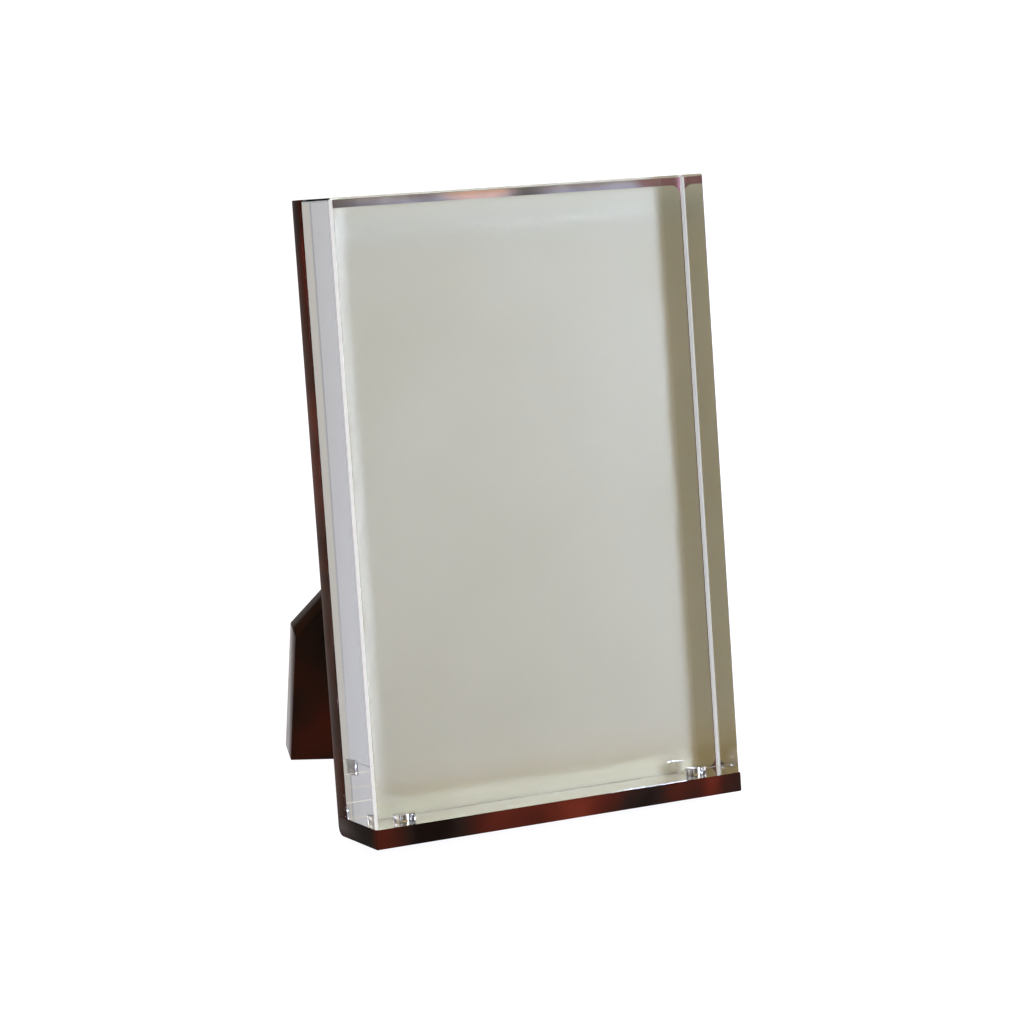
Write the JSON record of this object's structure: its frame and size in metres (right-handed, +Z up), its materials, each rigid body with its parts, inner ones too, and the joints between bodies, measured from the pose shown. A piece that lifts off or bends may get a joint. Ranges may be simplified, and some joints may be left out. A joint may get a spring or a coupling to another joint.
{
  "type": "acrylic photo frame",
  "caption": "Free-standing tortoiseshell acrylic photo frame: back panel on a narrow ledge, diagonal easel leg behind, thick clear front block held down by disc magnets.",
  "frame": {"origin": "on the table, under the middle of the frame's box", "axes": "+Z up, the clear block faces -Y and leans back towards +Y, +X to the right when looking at the front"},
  "size_m": [0.103, 0.0796, 0.1602],
  "materials": {
    "tortoiseshell_acrylic": "polished dark brown and red tortoiseshell acrylic",
    "clear_acrylic": "water clear polished acrylic",
    "print_paper": "matte off-white card",
    "magnet_nickel": "bright nickel plating"
  },
  "bodies": {
    "stand": {"back_panel": "tortoiseshell_acrylic", "base_ledge": "tortoiseshell_acrylic", "easel_leg": "tortoiseshell_acrylic", "ledge_magnet_left": "magnet_nickel", "ledge_magnet_right": "magnet_nickel"},
    "block": {"clear_block": "clear_acrylic", "block_magnet_left": "magnet_nickel", "block_magnet_right": "magnet_nickel"},
    "print": {"photo_insert": "print_paper"}
  },
  "joints": [
    {"name": "block_lift", "type": "slide", "parent": "stand", "child": "block", "axis": [0, 0.2588, 0.9659], "range_m": [0, 0.16]},
    {"name": "print_slide", "type": "slide", "parent": "stand", "child": "print", "axis": [0, 0.2588, 0.9659], "range_m": [0, 0.16]}
  ]
}
